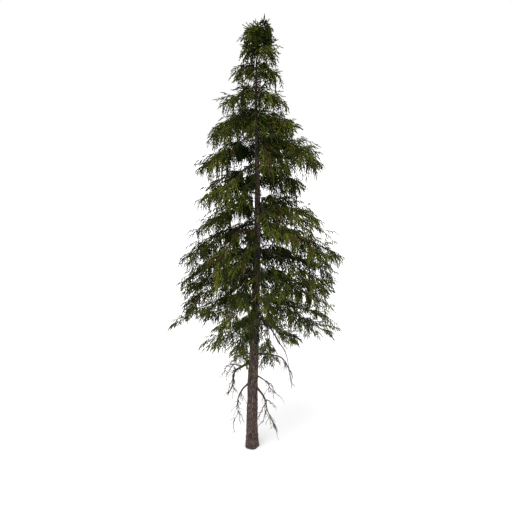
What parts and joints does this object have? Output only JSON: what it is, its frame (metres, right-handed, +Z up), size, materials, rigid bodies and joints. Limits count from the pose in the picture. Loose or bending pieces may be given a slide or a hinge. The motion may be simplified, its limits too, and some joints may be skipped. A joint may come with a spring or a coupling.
{
  "type": "spruce tree",
  "caption": "Narrow conical spruce with a tapering trunk, drooping tiers of dark green foliage, and dead boughs below the crown.",
  "frame": {"origin": "middle of the flat cut where the trunk meets the ground", "axes": "+Z up the trunk, +X to the right and -Y to the front of the front view"},
  "size_m": [6.2813, 5.6478, 15.99],
  "materials": {
    "bark": "rough grey-brown furrowed bark",
    "dead_wood": "dry reddish-brown wood of dead boughs, paler towards the tips",
    "needles": "matt dark green needles"
  },
  "bodies": {
    "root": {"bough_t06_left": "bark", "bough_t07_left": "bark", "bough_t09_left": "bark", "bough_t09_right": "bark", "bough_t12_left": "bark", "dead_bough_left_back": "dead_wood", "dead_bough_left_lower": "dead_wood", "dead_bough_left_upper": "dead_wood", "dead_bough_left_upper_side": "dead_wood", "dead_bough_right_hanging": "dead_wood", "dead_bough_right_high": "dead_wood", "dead_bough_right_lower": "dead_wood", "dead_bough_right_upper": "dead_wood", "foliage_leader": "needles", "foliage_t01_left": "needles", "foliage_t01_right": "needles", "foliage_t02_left": "needles", "foliage_t02_right": "needles", "foliage_t03_left": "needles", "foliage_t03_right": "needles", "foliage_t04_left": "needles", "foliage_t04_right": "needles", "foliage_t05_back": "needles", "foliage_t05_front": "needles", "foliage_t05_left": "needles", "foliage_t05_right": "needles", "foliage_t06_back": "needles", "foliage_t06_front": "needles", "foliage_t06_left": "needles", "foliage_t06_right": "needles", "foliage_t07_back": "needles", "foliage_t07_front": "needles", "foliage_t07_left": "needles", "foliage_t07_right": "needles", "foliage_t08_back": "needles", "foliage_t08_front": "needles", "foliage_t08_left": "needles", "foliage_t08_right": "needles", "foliage_t09_back": "needles", "foliage_t09_front": "needles", "foliage_t09_left": "needles", "foliage_t09_right": "needles", "foliage_t10_back": "needles", "foliage_t10_front": "needles", "foliage_t10_left": "needles", "foliage_t10_right": "needles", "foliage_t11_back": "needles", "foliage_t11_front": "needles", "foliage_t11_left": "needles", "foliage_t11_right": "needles", "foliage_t12_back": "needles", "foliage_t12_front": "needles", "foliage_t12_left": "needles", "foliage_t12_left_tip": "needles", "foliage_t12_right": "needles", "foliage_t13_back": "needles", "foliage_t13_front": "needles", "foliage_t13_left": "needles", "foliage_t13_right": "needles", "trunk": "bark"}
  },
  "joints": []
}
